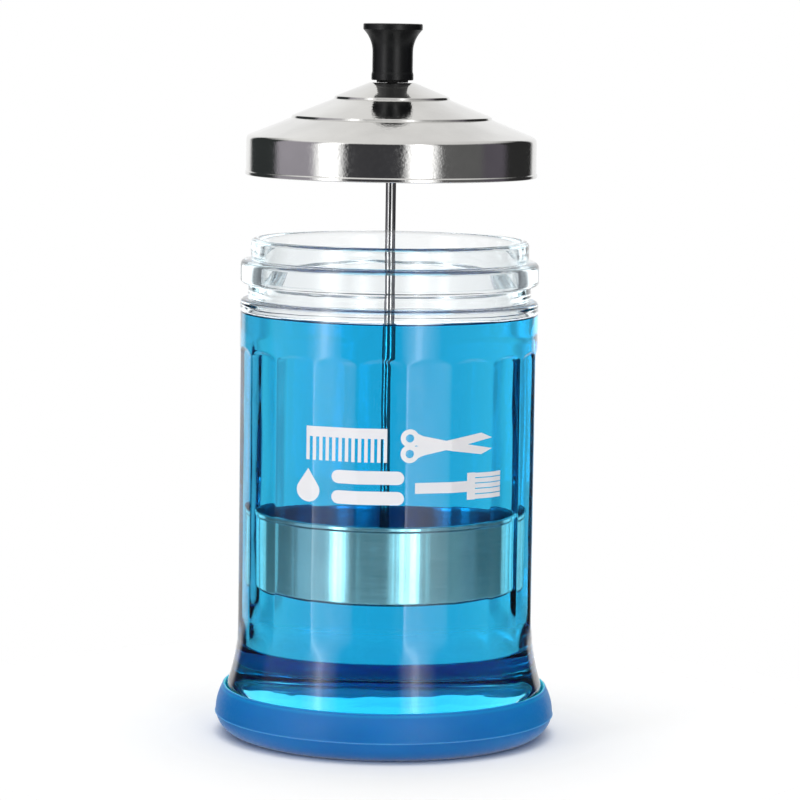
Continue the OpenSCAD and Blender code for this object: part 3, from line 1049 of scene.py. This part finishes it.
def make_room():
    """A white room with two tall soft lamps in front, a dim front wall and dim sides. Light
    that comes through the jar from its flanks, or that has turned back in it, is lifted."""
    world = bpy.data.worlds.new("studio_room")
    bpy.context.scene.world = world
    world.use_nodes = True
    tree = world.node_tree
    tree.nodes.clear()
    output = node(tree, "ShaderNodeOutputWorld")
    place = node(tree, "ShaderNodeTexCoord").outputs["Generated"]
    x, y, z = node(tree, "ShaderNodeSeparateXYZ", {0: place}).outputs
    front = maths(tree, "MULTIPLY", y, -1.0)
    turn = maths(tree, "ARCTAN2", x, front)
    share = spread(tree, turn, -math.pi, math.pi, 0.0, 1.0)
    walls = node(tree, "ShaderNodeValToRGB", {0: share})
    white, front_wall, right_wall = (1.0, 1.0, 1.0), (0.055, 0.055, 0.06), (0.13, 0.13, 0.13)
    left_side, right_side = (0.38, 0.36, 0.40), (0.11, 0.10, 0.12)
    left_dark, right_dark = (0.035, 0.04, 0.04), (0.03, 0.03, 0.03)
    lamp_edge, lamp_side, lamp = (1.2, 1.2, 1.2), (2.4, 2.4, 2.4), (4.5, 4.5, 4.5)
    # Degrees to the right of the front, and the light that comes from there
    bands = [
        (-180, white), (-152, white), (-144, left_dark), (-106, left_dark),
        (-99, left_side), (-66, left_side),
        (-59, lamp_edge), (-54, lamp_side), (-51, lamp), (-49, lamp), (-46, lamp_side),
        (-41, lamp_edge), (-35, front_wall), (9, front_wall),
        (14, lamp_edge), (20, lamp_side), (23, lamp), (25, lamp), (28, lamp_side),
        (34, lamp_edge), (41, right_wall), (74, right_wall),
        (80, right_side), (99, right_side), (106, right_dark), (144, right_dark),
        (152, white), (180, white),
    ]
    ramp = walls.color_ramp
    while len(ramp.elements) > 1:
        ramp.elements.remove(ramp.elements[-1])
    for k, (angle, tone) in enumerate(bands):
        stop = ramp.elements[0] if k == 0 else ramp.elements.new((angle + 180) / 360)
        stop.position = (angle + 180) / 360
        stop.color = tuple(t / lamp[0] for t in tone) + (1,)
    bright = blend_colours(tree, 1.0, walls.outputs[0], lamp + (1,))
    bright.node.blend_type = "MULTIPLY"
    path = node(tree, "ShaderNodeLightPath").outputs
    away = maths(tree, "ABSOLUTE", turn)
    flank = maths(
        tree,
        "MULTIPLY",
        spread(tree, away, math.radians(45), math.radians(75), 0.0, 1.0),
        spread(tree, away, math.radians(144), math.radians(152), 1.0, 0.0),
    )
    turned_back = maths(tree, "GREATER_THAN", path["Glossy Depth"], 0.5)
    unturned = maths(tree, "SUBTRACT", 1.0, turned_back)
    through = both(tree, flank, both(tree, unturned, path["Is Transmission Ray"]))
    lifted = blend_colours(tree, through, bright, (0.86, 0.91, 1.0, 1))
    gained = blend_colours(tree, 1.0, lifted, (1.7, 1.7, 1.7, 1))
    gained.node.blend_type = "MULTIPLY"
    gained = blend_colours(tree, 1.0, gained, (0.12, 0.12, 0.135, 1))
    gained.node.blend_type = "ADD"
    inside_jar = both(tree, turned_back, path["Is Transmission Ray"])
    lifted = blend_colours(tree, inside_jar, lifted, gained)
    side = spread(tree, x, -0.5, 0.5, 0.0, 1.0)
    ceiling = blend_colours(tree, side, (0.98, 0.975, 0.96, 1), (0.80, 0.79, 0.78, 1))
    high = spread(tree, z, 0.45, 0.72, 0.0, 1.0)
    room = blend_colours(tree, high, lifted, ceiling)
    low = spread(tree, z, -0.3, -0.6, 0.0, 1.0)
    room = blend_colours(tree, low, room, (0.8, 0.8, 0.8, 1))
    colour = blend_colours(tree, path["Is Camera Ray"], room, (1.0, 1.0, 1.0, 1))
    glow = node(tree, "ShaderNodeBackground", {"Color": colour, "Strength": 1.0})
    tree.links.new(glow.outputs[0], output.inputs["Surface"])


def add_lamp(name, place, turn, size, power):
    """A soft rectangular lamp that shows neither itself nor its reflection"""
    lamp_data = bpy.data.lights.new(name, "AREA")
    lamp_data.shape = "RECTANGLE"
    lamp_data.size, lamp_data.size_y = size
    lamp_data.energy = power
    lamp = bpy.data.objects.new(name, lamp_data)
    bpy.context.scene.collection.objects.link(lamp)
    lamp.matrix_world = Matrix.Translation(place) @ Euler(
        [math.radians(t) for t in turn]
    ).to_matrix().to_4x4()
    lamp.visible_camera = False
    lamp.visible_glossy = False


make_floor()
make_room()
add_lamp("ceiling_lamp", (0.0, 0.1, 1.5), (0, 0, 0), (1.4, 1.4), 13.0)

settings = bpy.context.scene
settings.view_settings.view_transform = "Standard"
settings.cycles.max_bounces = 24
settings.cycles.transmission_bounces = 20
settings.cycles.glossy_bounces = 14
settings.cycles.sample_clamp_indirect = 6.0
